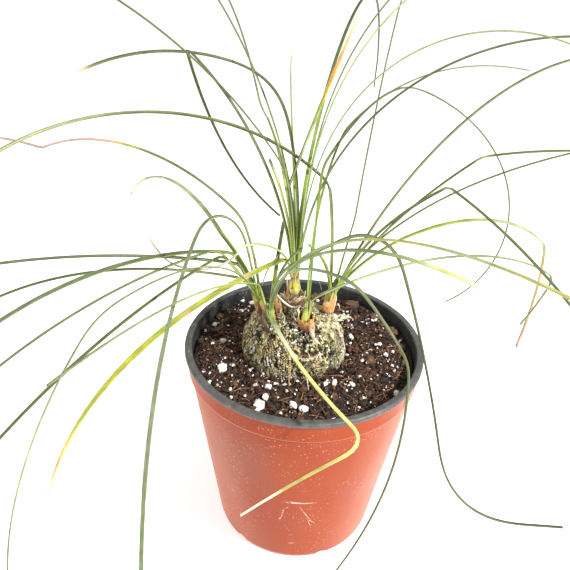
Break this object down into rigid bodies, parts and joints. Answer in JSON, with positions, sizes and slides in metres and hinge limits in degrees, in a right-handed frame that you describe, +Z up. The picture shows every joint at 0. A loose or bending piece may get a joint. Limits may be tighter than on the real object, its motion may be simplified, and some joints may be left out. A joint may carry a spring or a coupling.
{
  "type": "potted calibanus",
  "caption": "Grassy caudex houseplant in a tapered plastic nursery pot: a corky swollen base half sunk in potting mix, with tufts of long arching leaves.",
  "frame": {"origin": "middle of the pot's flat underside", "axes": "+Z up along the pot's axis, -Y is the front that the picture shows, +X to its right"},
  "size_m": [0.528, 0.3691, 0.3127],
  "materials": {
    "pot": "terracotta coloured moulded plastic, dark grey inside and on the lip",
    "soil": "dark peat mix with bark chips and white perlite grains",
    "caudex": "fissured corky bark, tan and olive",
    "leaf": "waxy green leaves, some yellow and dry at their ends"
  },
  "bodies": {
    "root": {"pot": "pot", "soil": "soil", "caudex": "caudex", "tuft_left": "leaf", "tuft_front": "leaf", "tuft_middle": "leaf", "tuft_small": "leaf", "tuft_right": "leaf"}
  },
  "joints": []
}
